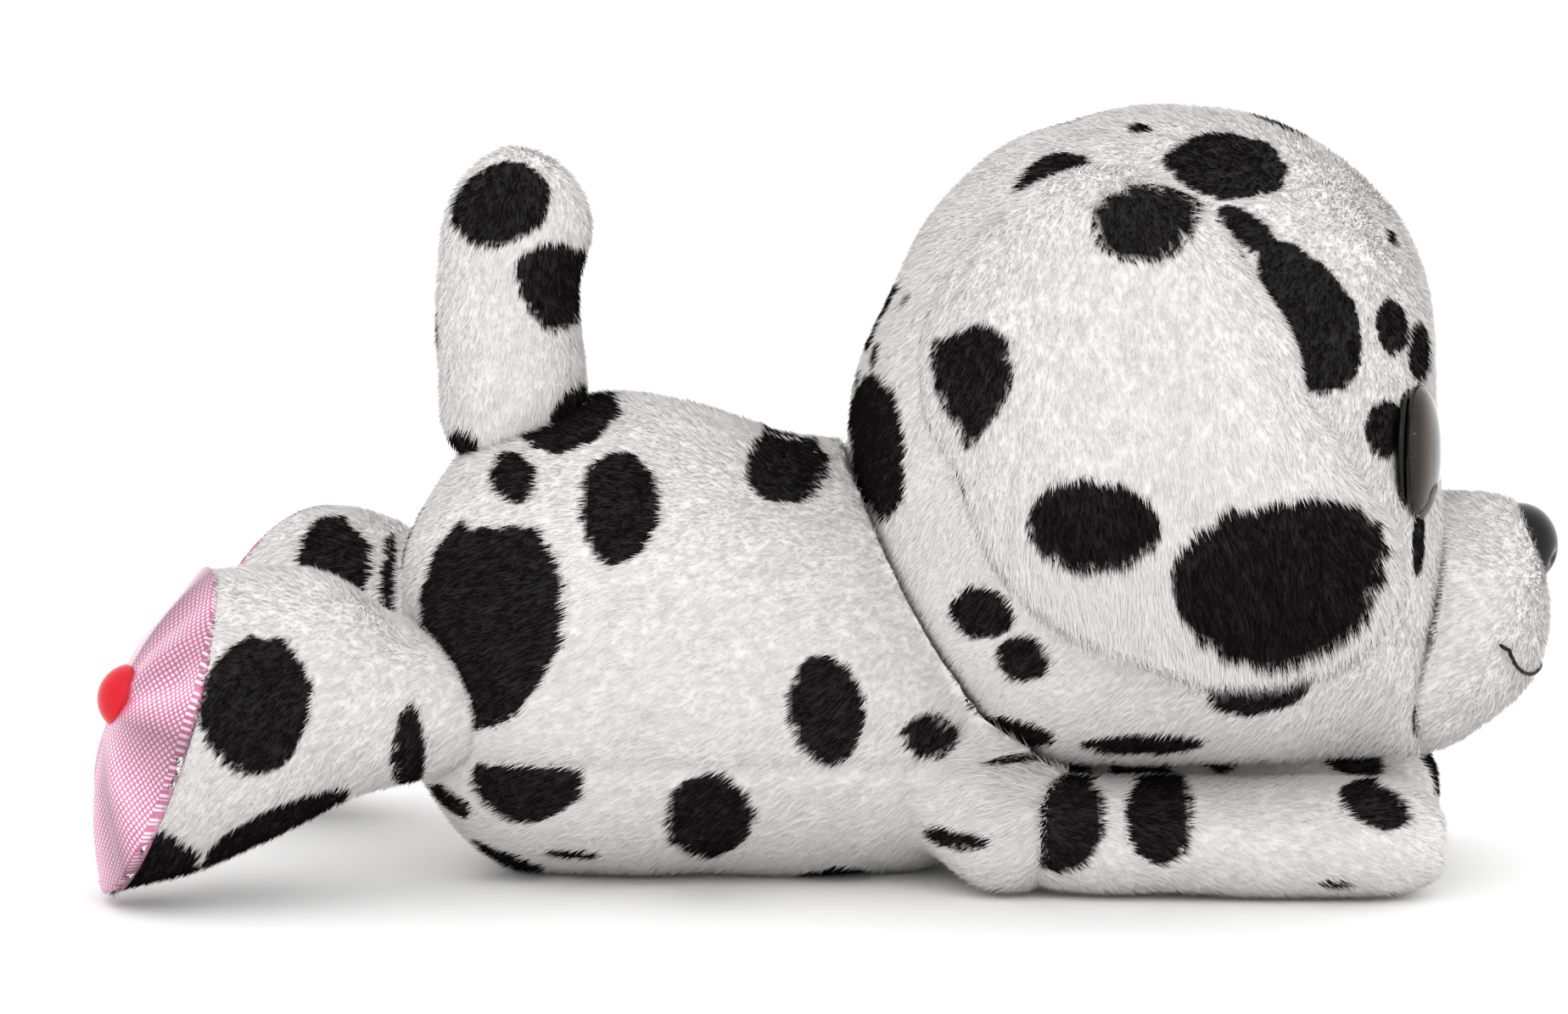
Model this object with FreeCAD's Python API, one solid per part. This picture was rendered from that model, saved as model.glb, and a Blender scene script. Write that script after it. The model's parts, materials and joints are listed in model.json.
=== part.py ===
import FreeCAD, Part
import math
import os

# Lying plush dog: sewn fabric panels over fibre filling, with moulded eyes and nose.
# The dog faces +X, its left side is +Y, and it lies on the plane Z = 0.
# The origin is on the flat of the belly, below the middle of the toy's length.
# All lengths are millimetres.

V = FreeCAD.Vector

# ---- fabric and fits -------------------------------------------------------------------
FABRIC = 1.6            # thickness of the plush cloth, backing and crushed pile together
FILL_GAP = 0.3          # room between the cloth and the filling inside it
JOINT_GAP = 0.6         # room round the ball-shaped root of a leg or the tail
SECTION_POINTS = 14     # points on each cross-section of a stuffed shape
FAR = 400.0             # larger than the toy in every direction
OVERRUN = 1.0           # cutting tools run past the faces that they cut

# ---- stuffed shapes: (along, up, tilt of the section in degrees, half width, half height)
TORSO = [
    (-70.0, 42.0, 0, 7.0, 6.0),
    (-69.0, 41.0, 0, 15.5, 14.0),
    (-66.0, 38.5, 0, 24.0, 23.0),
    (-60.0, 38.0, 0, 31.0, 32.0),
    (-50.0, 38.4, 0, 35.8, 38.8),
    (-36.0, 39.6, 0, 38.5, 41.2),
    (-20.0, 38.8, 0, 39.0, 40.8),
    (-4.0, 35.8, 0, 37.5, 37.4),
    (10.0, 33.0, 0, 35.0, 34.4),
    (22.0, 29.6, 0, 31.0, 28.5),
    (30.0, 25.5, 0, 25.0, 20.5),
    (34.0, 22.0, 0, 17.0, 14.0),
    (36.0, 21.0, 0, 9.0, 8.0),
]
HEAD = [
    (5.6, 70.0, 0, 4.0, 4.0),
    (6.8, 70.0, 0, 12.0, 11.5),
    (9.5, 69.5, 0, 21.5, 21.5),
    (14.5, 69.5, 0, 31.0, 33.0),
    (22.5, 70.0, 0, 40.5, 44.5),
    (34.0, 70.3, 0, 48.0, 53.0),
    (46.0, 71.3, 0, 51.5, 56.5),
    (58.0, 72.0, 0, 52.0, 57.3),
    (72.0, 71.0, 0, 50.5, 57.0),
    (84.0, 69.2, 0, 45.5, 54.0),
    (93.0, 66.3, 0, 38.5, 50.0),
    (99.0, 62.5, 0, 31.0, 45.8),
    (102.5, 59.0, 0, 24.0, 41.0),
    (104.0, 56.5, 0, 18.0, 36.0),
]
MUZZLE = [
    (92.0, 41.8, 0, 25.0, 22.4),
    (98.0, 41.8, 0, 25.0, 22.4),
    (104.0, 42.0, 0, 24.6, 22.3),
    (110.0, 43.2, 0, 23.2, 21.2),
    (115.5, 44.8, 0, 20.2, 18.8),
    (120.0, 46.0, 0, 15.4, 14.8),
    (122.8, 46.2, 0, 9.8, 9.4),
    (124.0, 46.0, 0, 4.0, 4.0),
]
TAIL = [
    (-50.0, 66.4, 90, 3.0, 3.0),
    (-50.0, 67.5, 90, 6.0, 6.0),
    (-50.0, 70.6, 90, 9.8, 9.8),
    (-50.0, 75.0, 90, 12.3, 12.3),
    (-50.0, 80.5, 90, 12.8, 12.9),
    (-50.9, 91.0, 92, 12.4, 12.9),
    (-50.5, 101.0, 87, 12.2, 12.8),
    (-48.6, 109.5, 76, 11.8, 12.7),
    (-46.6, 116.0, 68, 9.6, 10.4),
    (-45.5, 119.4, 64, 6.4, 7.0),
    (-45.0, 121.0, 62, 3.0, 3.2),
]
FRONT_LEG = [
    (-10.0, 0.0, 0, 2.8, 2.8),
    (-8.8, 0.0, 0, 5.4, 5.2),
    (-5.8, 0.0, 0, 8.4, 8.2),
    (-1.5, 0.0, 0, 10.2, 9.8),
    (6.0, -0.2, 0, 11.8, 10.2),
    (16.0, -0.4, 0, 12.8, 10.4),
    (30.0, -0.5, 0, 13.2, 10.5),
    (44.0, -0.5, 0, 13.5, 10.5),
    (53.0, -0.5, 0, 13.6, 10.3),
    (58.8, -0.8, 0, 12.0, 8.8),
    (62.0, -1.5, 0, 8.8, 6.4),
    (63.4, -1.8, 0, 4.4, 3.4),
]
REAR_LEG = [
    (-12.4, 0.0, 0, 3.0, 3.0),
    (-11.2, 0.0, 0, 6.0, 6.0),
    (-8.2, 0.0, 0, 9.6, 9.6),
    (-3.4, 0.0, 0, 12.2, 12.2),
    (3.0, 0.0, 0, 12.8, 12.9),
    (11.0, 0.3, 0, 13.6, 14.2),
    (21.0, 1.2, 5, 15.8, 18.6),
    (30.0, 0.2, 10, 18.0, 22.8),
    (39.0, -1.6, 15, 19.2, 26.0),
    (47.0, -2.7, 18, 20.4, 28.0),
    (52.7, -3.1, 19, 21.0, 28.8),
]
SOLE_DOME = [
    (52.7, -3.1, 19, 21.0, 28.8),
    (55.4, -3.0, 19, 19.5, 27.2),
    (58.0, -2.6, 19, 15.7, 22.6),
    (59.8, -2.2, 19, 10.0, 15.0),
    (60.5, -2.0, 19, 3.8, 6.0),
]

# ---- seams -----------------------------------------------------------------------------
BELLY_SEAM_Z = 22.5         # the belly panel is the cloth below this height
HEAD_BACK_SEAM_X = 35.0     # the back of the head is one panel, up to this plane
CROWN_HALF_WIDTH = 13.0     # the gusset over the middle of the forehead
CROWN_SEAM_Z = 78.0         # lowest edge of that gusset on the face
HEAD_FLOOR_Z = 20.8         # the head is squashed flat where it lies on the front legs
TORSO_FLOOR_Z = 0.0         # the belly is squashed flat on the ground
LEG_FLOOR_Z = -10.2         # so is the underside of each front leg, below its own axis

# ---- neck ------------------------------------------------------------------------------
NECK_PIVOT = V(40.0, 0.0, 60.0)
NECK_BALL = 11.0
NECK_STALK = 7.0
NECK_ROOM = 12.4            # radius of the opening that the stalk swings in
NECK_DROP_DEG = 20.0        # the stalk slopes down towards the shoulders
NECK_SWING_DEG = 15.0
SOCKET_GAP = 5.0            # the chest stays this far from the head, so it can roll
STALK_GAP = 4.3

# ---- legs and tail ---------------------------------------------------------------------
SHOULDERS = {"right": V(41.0, -25.5, 10.4), "left": V(45.0, 25.5, 10.4)}
HIPS = {"right": V(-57.0, -17.0, 31.6), "left": V(-57.0, 17.0, 31.6)}
HIP_SPLAY_DEG = {"right": 15.0, "left": 48.0}
HIP_SWEEP_DEG = (5.0, 27.5, 50.0)   # the rear legs swing from the first of these to the last
SHOULDER_BALL = 10.2
HIP_BALL = 12.8
HIP_MOUTH = (13.4, 20.6, 24.0)      # cone that a rear leg leaves by: both radii, length
TAIL_ROOT = V(-50.0, 0.0, 79.2)
TAIL_BALL = 13.0

# ---- ears ------------------------------------------------------------------------------
EAR_INNER = (0.9, 2.8)      # distance of the lining's two faces from the head
EAR_OUTER = (2.9, 5.2)      # distance of the plush face cloth's two faces from the head
EAR_OUTLINE = [(29.0, 104.0), (37.0, 112.8), (58.0, 112.8), (70.0, 102.0), (79.0, 82.0),
               (90.0, 65.0), (91.5, 55.0), (82.0, 44.5), (68.0, 41.0), (53.0, 45.0),
               (38.0, 51.0), (27.0, 64.0), (18.5, 79.0), (18.0, 92.0)]

# ---- eyes, nose and mouth --------------------------------------------------------------
EYE_CENTRE = V(96.2, 25.5, 73.4)
EYE_TURN_DEG = 14.0         # each eye looks this far outwards
EYE_RADIUS = 11.4
EYE_BASE = 1.4
IRIS_RADIUS = 10.6
IRIS_THICK = 0.5
LENS_HEIGHT = 4.2
PEG_RADIUS = 2.2
PEG_LENGTH = 9.0
WASHER_RADIUS = 7.5
WASHER_THICK = 1.2
WASHER_SET = 4.2            # how far behind the eye's base the washer grips the cloth
NOSE_CENTRE = V(118.6, 0.0, 54.9)
NOSE_HALF = V(6.4, 8.2, 7.0)
NOSE_WASHER_X = 108.0
NOSE_PEG_LENGTH = 13.0
THREAD_RADIUS = 0.45
THREAD_LIFT = 0.3           # room between the thread and the cloth that it is stitched over
MOUTH_MIDDLE_Z = 35.2
SMILE_YZ = [(4.5, 34.9), (10.0, 34.8), (15.5, 37.0), (19.5, 41.4)]  # half of the smile, outwards

# ---- pellets in the belly --------------------------------------------------------------
POUCH_CENTRE = V(-28.0, 0.0, 20.0)
POUCH_HALF = V(22.0, 19.0, 12.0)
POUCH_CLOTH = 0.8

# ---- stud on the rear soles ------------------------------------------------------------
STUD_RADIUS = 5.2
STUD_HEIGHT = 3.2
STUD_UP = 4.0               # above the middle of the sole


def section(station, inset, pull):
    """Closed smooth curve round one cross-section, set in by inset and moved along by pull."""
    along, up, tilt, half_width, half_height = station
    lean = math.radians(tilt)
    centre = V(along + pull * math.cos(lean), 0, up + pull * math.sin(lean))
    side = V(0, half_width - inset, 0)
    rise = V(-math.sin(lean), 0, math.cos(lean)) * (half_height - inset)
    points = []
    for i in range(SECTION_POINTS):
        angle = 2 * math.pi * i / SECTION_POINTS
        points.append(centre + side * math.cos(angle) + rise * math.sin(angle))
    curve = Part.BSplineCurve()
    curve.interpolate(Points=points, PeriodicFlag=True)
    return Part.Wire([curve.toShape()])


def stuffed(stations, inset=0.0):
    """Solid through the stations, smaller all round by inset (larger if it is negative)."""
    last = len(stations) - 1
    wires = [section(s, inset, inset * (1 - 2 * i / last)) for i, s in enumerate(stations)]
    return Part.makeLoft(wires, True, False)


def slab(low, high):
    """Box between two corners, used to cut panels apart."""
    size = high - low
    return Part.makeBox(size.x, size.y, size.z, low)


def above_plane(height):
    return slab(V(-FAR, -FAR, height), V(FAR, FAR, FAR))


def side_of(name):
    """Half of space on the dog's left (+Y) or right (-Y)."""
    if name == "left":
        return slab(V(-FAR, 0, -FAR), V(FAR, FAR, FAR))
    return slab(V(-FAR, -FAR, -FAR), V(FAR, 0, FAR))


def sign_of(name):
    return 1 if name == "left" else -1


def disc(centre, direction, radius, thick):
    return Part.makeCylinder(radius, thick, centre, direction)


def ellipsoid(centre, half):
    ball = Part.makeSphere(1.0)
    matrix = FreeCAD.Matrix()
    matrix.scale(half)
    matrix.move(centre)
    return ball.transformGeometry(matrix)


def placed(shape, centre, turn_deg):
    """A limb drawn along +X from its root, turned about the vertical and put in place."""
    limb = shape.copy()
    limb.rotate(V(0, 0, 0), V(0, 0, 1), turn_deg)
    limb.translate(centre)
    return limb


def largest(shape):
    return max(shape.Solids, key=lambda solid: solid.Volume)


def carved(shape, tools):
    """The shape with each tool cut from it in turn."""
    for tool in tools:
        shape = shape.cut(tool)
    return largest(shape)


def save(name, shape):
    """Write one named piece and report what it is."""
    solids = shape.Solids
    whole = solids[0] if len(solids) == 1 else Part.makeCompound(solids)
    whole.exportStep("parts/" + name + ".step")
    size = whole.BoundBox
    print(f"{name:26s} solids {len(solids)} volume {whole.Volume:9.1f} valid {whole.isValid()} "
          f"x {size.XMin:.1f} {size.XMax:.1f} y {size.YMin:.1f} {size.YMax:.1f} "
          f"z {size.ZMin:.1f} {size.ZMax:.1f}")


# ---- torso -----------------------------------------------------------------------------
def hip_mouth(side, splay_deg, deeper):
    """Cone round the thick end of a rear leg, swung out to one splay."""
    splay = math.radians(splay_deg)
    along = V(-math.cos(splay), sign_of(side) * math.sin(splay), 0)
    root_radius, wide_radius, length = HIP_MOUTH
    return Part.makeCone(root_radius + deeper, wide_radius + deeper, length, HIPS[side], along)


def torso_room(deeper):
    """Everything the torso leaves free, each shape grown by deeper.

    That is the rolling head, the ball roots of the limbs, and the sweep of the rear legs.
    """
    gap = JOINT_GAP + deeper
    room = [stuffed(HEAD, -SOCKET_GAP - deeper)]
    room.append(Part.makeSphere(TAIL_BALL + gap, TAIL_ROOT))
    for side in ("left", "right"):
        room.append(Part.makeSphere(SHOULDER_BALL + gap, SHOULDERS[side]))
        room.append(Part.makeSphere(HIP_BALL + gap, HIPS[side]))
        room.extend(hip_mouth(side, splay, deeper) for splay in HIP_SWEEP_DEG)
    return room


def torso_solid(inset):
    """The torso, flat underneath, with the sockets for the head, legs and tail."""
    body = stuffed(TORSO, inset).common(above_plane(TORSO_FLOOR_Z + inset))
    return carved(body, torso_room(inset))


def make_torso():
    cloth = carved(torso_solid(0.0), [torso_solid(FABRIC)])
    above = above_plane(BELLY_SEAM_Z)
    upper = largest(cloth.common(above))
    for side in ("left", "right"):
        save("torso_" + side + "_panel", largest(upper.common(side_of(side))))
    save("belly_panel", largest(cloth.cut(above)))
    pouch = ellipsoid(POUCH_CENTRE, POUCH_HALF)
    pellets = ellipsoid(POUCH_CENTRE, POUCH_HALF - V(1, 1, 1) * POUCH_CLOTH)
    loose = ellipsoid(POUCH_CENTRE, POUCH_HALF - V(1, 1, 1) * (POUCH_CLOTH + FILL_GAP))
    nest = ellipsoid(POUCH_CENTRE, POUCH_HALF + V(1, 1, 1) * FILL_GAP)
    save("torso_stuffing", torso_solid(FABRIC + FILL_GAP).cut(nest))
    save("pellet_pouch", pouch.cut(pellets))
    save("pellet_fill", loose)


# ---- neck and head ---------------------------------------------------------------------
def neck_direction(raised_deg=0.0):
    """Unit vector from the neck pivot towards the shoulders."""
    angle = math.radians(NECK_DROP_DEG - raised_deg)
    return V(-math.cos(angle), 0, -math.sin(angle))


def make_neck():
    stalk = Part.makeCylinder(NECK_STALK, FAR, NECK_PIVOT, neck_direction())
    plug = Part.makeSphere(NECK_BALL, NECK_PIVOT).fuse(stalk)
    save("neck_stuffing", plug.common(stuffed(HEAD, -STALK_GAP)))


def neck_opening():
    """Room in the head for the neck: a ball cavity and the mouth that the stalk swings in."""
    ball = Part.makeSphere(NECK_BALL + JOINT_GAP, NECK_PIVOT)
    middle = neck_direction(NECK_SWING_DEG / 2)
    mouth = Part.makeCylinder(NECK_ROOM, FAR, NECK_PIVOT, middle)
    return ball.fuse(mouth)


def head_solid(inset):
    """The head, flat underneath where it lies on the legs."""
    return stuffed(HEAD, inset).common(above_plane(HEAD_FLOOR_Z + inset))


def eye_frame(side):
    """Where an eye sits, and the direction it looks in."""
    sign = sign_of(side)
    turn = math.radians(EYE_TURN_DEG)
    centre = V(EYE_CENTRE.x, sign * EYE_CENTRE.y, EYE_CENTRE.z)
    look = V(math.cos(turn), sign * math.sin(turn), 0)
    return centre, look


def eye_room(side):
    """Recess in the cloth under an eye, with the hole for its peg."""
    centre, look = eye_frame(side)
    recess = disc(centre, look, EYE_RADIUS + FILL_GAP, EYE_RADIUS)
    bottom = centre - look * (PEG_LENGTH + FILL_GAP)
    hole = disc(bottom, look, PEG_RADIUS + FILL_GAP / 2, PEG_LENGTH + OVERRUN)
    return recess.fuse(hole)


def washer_room(side):
    """Clearance in the filling round an eye's washer, open towards the cloth in front of it."""
    centre, look = eye_frame(side)
    start = centre - look * (WASHER_SET + WASHER_THICK + FILL_GAP)
    return disc(start, look, WASHER_RADIUS + FILL_GAP, WASHER_THICK + 2 * FILL_GAP)


def make_head():
    openings = [neck_opening(), eye_room("left"), eye_room("right")]
    cloth = carved(head_solid(0.0), [head_solid(FABRIC)] + openings)
    front = slab(V(HEAD_BACK_SEAM_X, -FAR, -FAR), V(FAR, FAR, FAR))
    crown = slab(V(-FAR, -CROWN_HALF_WIDTH, CROWN_SEAM_Z), V(FAR, CROWN_HALF_WIDTH, FAR))
    save("head_back_panel", cloth.cut(front))
    face = cloth.common(front)
    save("crown_gusset", face.common(crown))
    cheeks = face.cut(crown)
    for side in ("left", "right"):
        save("face_" + side + "_panel", cheeks.common(side_of(side)))
    washers = [washer_room("left"), washer_room("right")]
    save("head_stuffing", carved(head_solid(FABRIC + FILL_GAP), openings + washers))


def make_eye(side):
    centre, look = eye_frame(side)
    base = disc(centre, look, EYE_RADIUS, EYE_BASE)
    peg = disc(centre - look * PEG_LENGTH, look, PEG_RADIUS, PEG_LENGTH)
    save("eye_base_" + side, base.fuse(peg))
    iris_at = centre + look * EYE_BASE
    save("eye_iris_" + side, disc(iris_at, look, IRIS_RADIUS, IRIS_THICK))
    lens_at = iris_at + look * IRIS_THICK
    ball_radius = (EYE_RADIUS ** 2 + LENS_HEIGHT ** 2) / (2 * LENS_HEIGHT)
    ball = Part.makeSphere(ball_radius, lens_at + look * (LENS_HEIGHT - ball_radius))
    save("eye_lens_" + side, ball.common(disc(lens_at, look, EYE_RADIUS, LENS_HEIGHT + OVERRUN)))
    washer_at = centre - look * (WASHER_SET + WASHER_THICK)
    washer = disc(washer_at, look, WASHER_RADIUS, WASHER_THICK)
    save("eye_washer_" + side, washer.cut(peg))


# ---- muzzle, nose and mouth ------------------------------------------------------------
def nose_dome():
    front = slab(V(NOSE_CENTRE.x, -FAR, -FAR), V(FAR, FAR, FAR))
    return ellipsoid(NOSE_CENTRE, NOSE_HALF).common(front)


def nose_peg(grow=0.0):
    start = V(NOSE_CENTRE.x - NOSE_PEG_LENGTH - grow, 0, NOSE_CENTRE.z)
    return Part.makeCylinder(PEG_RADIUS + grow, NOSE_PEG_LENGTH + grow, start, V(1, 0, 0))


def make_muzzle():
    openings = [head_solid(0.0), disc(NOSE_CENTRE, V(1, 0, 0), NOSE_HALF.y + FILL_GAP, FAR),
                nose_peg(FILL_GAP / 2)]
    cloth = carved(stuffed(MUZZLE), [stuffed(MUZZLE, FABRIC)] + openings)
    for side in ("left", "right"):
        save("muzzle_" + side + "_panel", largest(cloth.common(side_of(side))))
    washer_at = V(NOSE_WASHER_X, 0, NOSE_CENTRE.z)
    washer = disc(washer_at, V(1, 0, 0), WASHER_RADIUS, WASHER_THICK)
    room_at = washer_at - V(FILL_GAP, 0, 0)
    room = disc(room_at, V(1, 0, 0), WASHER_RADIUS + FILL_GAP, WASHER_THICK + 2 * FILL_GAP)
    save("muzzle_stuffing", carved(stuffed(MUZZLE, FABRIC + FILL_GAP), openings + [room]))
    save("nose", nose_dome().fuse(nose_peg()))
    save("nose_washer", washer.cut(nose_peg()))


def make_mouth():
    """One embroidered thread that runs over the muzzle in a smile."""
    above_cloth = stuffed(MUZZLE, -THREAD_RADIUS - THREAD_LIFT)
    right = [(-y, z) for y, z in reversed(SMILE_YZ)]
    route = []
    for y, z in right + [(0.0, MOUTH_MIDDLE_Z)] + SMILE_YZ:
        ray = Part.makeLine(V(MUZZLE[1][0], y, z), V(FAR, y, z))
        route.append(V(ray.common(above_cloth).BoundBox.XMax, y, z))
    curve = Part.BSplineCurve()
    curve.interpolate(Points=route)
    start_along = curve.tangent(curve.FirstParameter)[0]
    ring = Part.Wire([Part.makeCircle(THREAD_RADIUS, route[0], start_along)])
    save("mouth_stitch", Part.Wire([curve.toShape()]).makePipeShell([ring], True, False))


# ---- ears ------------------------------------------------------------------------------
def ear_prism():
    """Leaf outline of the left ear, drawn from the side and run out to that side."""
    points = [V(x, 0, z) for x, z in EAR_OUTLINE]
    curve = Part.BSplineCurve()
    curve.interpolate(Points=points, PeriodicFlag=True)
    return Part.Face(Part.Wire([curve.toShape()])).extrude(V(0, FAR, 0))


def make_ears():
    """Both layers of the left ear, and their mirror images."""
    for name, (near, far) in (("ear_inner_", EAR_INNER), ("ear_outer_", EAR_OUTER)):
        layer = stuffed(HEAD, -far).common(ear_prism())
        left = carved(layer, [stuffed(HEAD, -near)])
        save(name + "left", left)
        save(name + "right", left.mirror(V(0, 0, 0), V(0, 1, 0)))


# ---- tail and legs ---------------------------------------------------------------------
def make_tail():
    cloth = stuffed(TAIL).cut(stuffed(TAIL, FABRIC))
    for side in ("left", "right"):
        save("tail_" + side + "_panel", cloth.common(side_of(side)))
    save("tail_stuffing", stuffed(TAIL, FABRIC + FILL_GAP))


def other(side):
    return "right" if side == "left" else "left"


def front_leg_solid(inset):
    return stuffed(FRONT_LEG, inset).common(above_plane(LEG_FLOOR_Z + inset))


def make_front_leg(side):
    cloth = front_leg_solid(0.0).cut(front_leg_solid(FABRIC))
    pieces = {
        "front_leg_outer_": cloth.common(side_of(side)),
        "front_leg_inner_": cloth.common(side_of(other(side))),
        "front_leg_stuffing_": front_leg_solid(FABRIC + FILL_GAP),
    }
    for name, shape in pieces.items():
        save(name + side, placed(shape, SHOULDERS[side], 0))


def make_stud(dome, facing):
    """Domed stud with its foot set half into the cloth of the sole."""
    seam = V(SOLE_DOME[0][0], 0, SOLE_DOME[0][1])
    foot = seam + V(0, 0, STUD_UP)
    rim = Part.makeLine(foot, foot + facing * FAR).common(dome).Vertexes[-1].Point
    base = disc(rim - facing * FABRIC / 2, facing, STUD_RADIUS, FABRIC / 2)
    ball_radius = (STUD_RADIUS ** 2 + STUD_HEIGHT ** 2) / (2 * STUD_HEIGHT)
    ball = Part.makeSphere(ball_radius, rim + facing * (STUD_HEIGHT - ball_radius))
    return base.fuse(ball.common(disc(rim, facing, STUD_RADIUS, STUD_HEIGHT + OVERRUN)))


def make_rear_leg(side):
    """The leg is drawn along +X and then turned backwards, so its own left is the toy's right."""
    lean = math.radians(SOLE_DOME[0][2])
    dome = stuffed(SOLE_DOME)
    stud = make_stud(dome, V(math.cos(lean), 0, math.sin(lean)))
    cloth = stuffed(REAR_LEG).cut(stuffed(REAR_LEG, FABRIC))
    pieces = {
        "rear_leg_outer_": cloth.common(side_of(other(side))),
        "rear_leg_inner_": cloth.common(side_of(side)),
        "rear_leg_stuffing_": stuffed(REAR_LEG, FABRIC + FILL_GAP),
        "rear_sole_": carved(dome, [stuffed(SOLE_DOME, FABRIC), stud]),
        "sole_stud_": stud,
    }
    turn = 180 - sign_of(side) * HIP_SPLAY_DEG[side]
    for name, shape in pieces.items():
        save(name + side, placed(shape, HIPS[side], turn))


def main():
    os.makedirs("parts", exist_ok=True)
    make_torso()
    make_neck()
    make_head()
    make_muzzle()
    make_mouth()
    make_tail()
    make_ears()
    for side in ("left", "right"):
        make_eye(side)
        make_front_leg(side)
        make_rear_leg(side)


main()
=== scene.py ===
"""Looks of the lying plush dog: stuffed skins with a real pile, glossy eyes and nose, foil soles.

Every soft CAD solid is replaced by a skin made from its own outer surface, set in by the height
of the pile, and the pile is planted on that skin as separate closed strands. Lengths are metres.
"""
import json
import math

import bmesh
import bpy
import numpy as np
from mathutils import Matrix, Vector
from mathutils.bvhtree import BVHTree


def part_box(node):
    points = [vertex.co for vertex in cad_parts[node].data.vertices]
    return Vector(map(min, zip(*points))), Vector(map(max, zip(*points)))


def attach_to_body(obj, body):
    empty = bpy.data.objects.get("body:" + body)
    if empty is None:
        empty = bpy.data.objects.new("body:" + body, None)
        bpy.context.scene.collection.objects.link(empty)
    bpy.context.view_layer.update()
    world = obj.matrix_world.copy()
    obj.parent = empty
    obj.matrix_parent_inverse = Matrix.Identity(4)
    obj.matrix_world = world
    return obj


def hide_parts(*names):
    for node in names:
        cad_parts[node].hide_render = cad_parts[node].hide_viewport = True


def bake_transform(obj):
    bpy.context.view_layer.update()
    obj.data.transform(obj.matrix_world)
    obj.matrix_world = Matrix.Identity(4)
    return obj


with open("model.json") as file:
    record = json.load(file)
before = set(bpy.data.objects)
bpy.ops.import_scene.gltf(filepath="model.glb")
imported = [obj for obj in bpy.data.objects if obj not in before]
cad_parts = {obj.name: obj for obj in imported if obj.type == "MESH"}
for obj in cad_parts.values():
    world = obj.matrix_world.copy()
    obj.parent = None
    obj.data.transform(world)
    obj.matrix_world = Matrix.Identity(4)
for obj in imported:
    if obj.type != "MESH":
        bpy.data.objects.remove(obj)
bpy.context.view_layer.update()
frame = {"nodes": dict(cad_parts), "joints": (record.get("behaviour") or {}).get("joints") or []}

# ---- driving sizes ---------------------------------------------------------------------
MM = 0.001
PILE_HEIGHT = 1.2 * MM          # the skins lie this far inside the CAD surface
FOIL_DOT_PITCH = 0.85           # millimetres between the foil dots of a sole
SOLE_LEAN_DEG = 19.0            # the rear soles face this far up from level
SOLE_TUCK = 2.0 * MM            # their seam allowance goes this far into the leg
SOLE_FIT = 0.975                # share of the leg's end that the foil fills, inside the pile
SOLE_PLEAT = 4.4 * MM           # depth of its gathered facets
# Painted highlight and shade: how bright each facet of a sole is painted, in order round it, in place of the
# light it would catch.
PAINTED_GLINTS = (0.5, 1.3, 0.7, 1.0, 0.45, 1.35, 0.8, 1.2, 0.5, 1.0, 1.4, 0.6, 1.1, 0.5, 1.25, 0.8)
STRAND_LENGTH = 1.9 * MM
STRAND_WIDTH = 0.18 * MM
STRANDS_PER_MM2 = 5.6
STRAND_LEAN_DEG = 60.0          # how far a strand leans over from standing upright
MOST_STRANDS = 49000            # in one piece, so that no piece has more than 200000 faces
SKIN_VOXEL = 1.3 * MM           # size of the quads of a skin
FLOOR_CLEARANCE = 0.1 * MM
SEAM_HALF_WIDTH = 1.6 * MM
SEAM_DEPTH = 0.9 * MM
RUMP_FRONT_X = -36.0 * MM       # behind here the torso is filled out over the hip sockets
SHOULDER_RADIUS = 10.8 * MM
SHOULDER_BACK = 9.0 * MM        # the cloth over a shoulder ends this far behind its middle
SHOULDER_REACH = 24.0 * MM      # torso within this distance of a shoulder runs out over it
ARMPIT = (0.034, 0.032, 0.021)  # middle of the longer pile where each front leg meets the head
CONTACT_GAP = 1.6 * MM          # between two skins whose piles touch

VIEWS = {
    "right": ((1, 0, 0), (0, 0, 1), (0, -1, 0)),
    "left": ((1, 0, 0), (0, 0, 1), (0, 1, 0)),
    "above": ((1, 0, 0), (0, 1, 0), (0, 0, 1)),
    "below": ((1, 0, 0), (0, 1, 0), (0, 0, -1)),
    "front": ((0, 1, 0), (0, 0, 1), (1, 0, 0)),
    "back": ((0, 1, 0), (0, 0, 1), (-1, 0, 0)),
}

# ---- black spots: (seen from, across, up, half across, half up, tilt in degrees, taper), in mm
# A tapered spot is narrower at its lower end.
SIDE_SPOTS = [
    ("right", -40, 77.5, 8.5, 4.4, 18, 0),
    ("right", -49, 69, 3.6, 4, 20, 0),
    ("right", -31.5, 64.5, 6.4, 8.4, -12, 0.1),
    ("right", -4, 69.5, 7, 4.8, -5, 0),
    ("right", -53, 45, 11.5, 17.5, -14, 0.3),
    ("right", 2.5, 32.5, 6, 9.2, 6, 0),
    ("right", -60.5, 27, 2.6, 6, -8, 0),
    ("right", 19.5, 27.5, 5.5, 4, -20, 0),
    ("right", 35, 21, 8, 3, 0, 0),
    ("left", -30, 70, 9, 6, -15, 0),
    ("left", -54, 50, 9, 12, 20, 0.2),
    ("left", -12, 48, 8, 10, 0, 0),
    ("left", -34, 34, 7, 8, 30, 0),
    ("left", 8, 30, 8, 5, 0, 0),
    ("above", -14, 17, 6, 4, 30, 0),
    ("back", 6, 56, 7, 6, 15, 0),
]
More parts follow.
